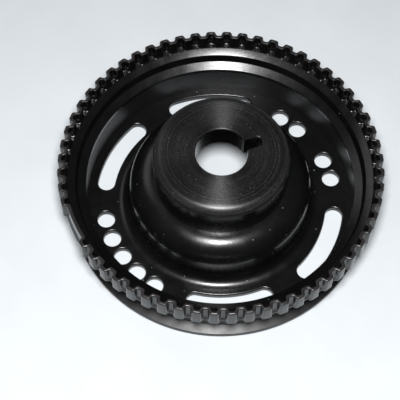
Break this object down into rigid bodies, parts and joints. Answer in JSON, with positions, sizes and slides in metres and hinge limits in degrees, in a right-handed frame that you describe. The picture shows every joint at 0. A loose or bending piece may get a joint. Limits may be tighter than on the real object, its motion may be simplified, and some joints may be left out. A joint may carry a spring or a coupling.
{
  "type": "crankshaft belt pulley with trigger ring",
  "caption": "Dished pressed-steel crankshaft pulley: ribbed-belt rim, domed web with holes and slots, keyed hub boss and a corrugated trigger ring with a gap.",
  "frame": {"origin": "on the pulley's axis, in the plane of the rim's back face", "axes": "+Z along the axis, out of the hub face; +X is 20.5 degrees clockwise from the keyway, seen from the hub side"},
  "size_m": [0.15, 0.15, 0.047],
  "materials": {
    "hub_finish": "turned steel under a thin black coat, semi-gloss",
    "black_coat": "black dip coat on pressed steel, glossy",
    "rim_coat": "black dip coat on turned steel, glossy",
    "ring_coat": "black dip coat on pressed steel, glossy",
    "weld_bead": "rippled weld bead under black coat"
  },
  "bodies": {
    "root": {"hub_boss": "hub_finish", "hub_weld": "weld_bead", "web_disc": "black_coat", "rim_weld": "weld_bead", "belt_rim": "rim_coat", "ring_weld": "weld_bead", "trigger_ring": "ring_coat"}
  },
  "joints": []
}
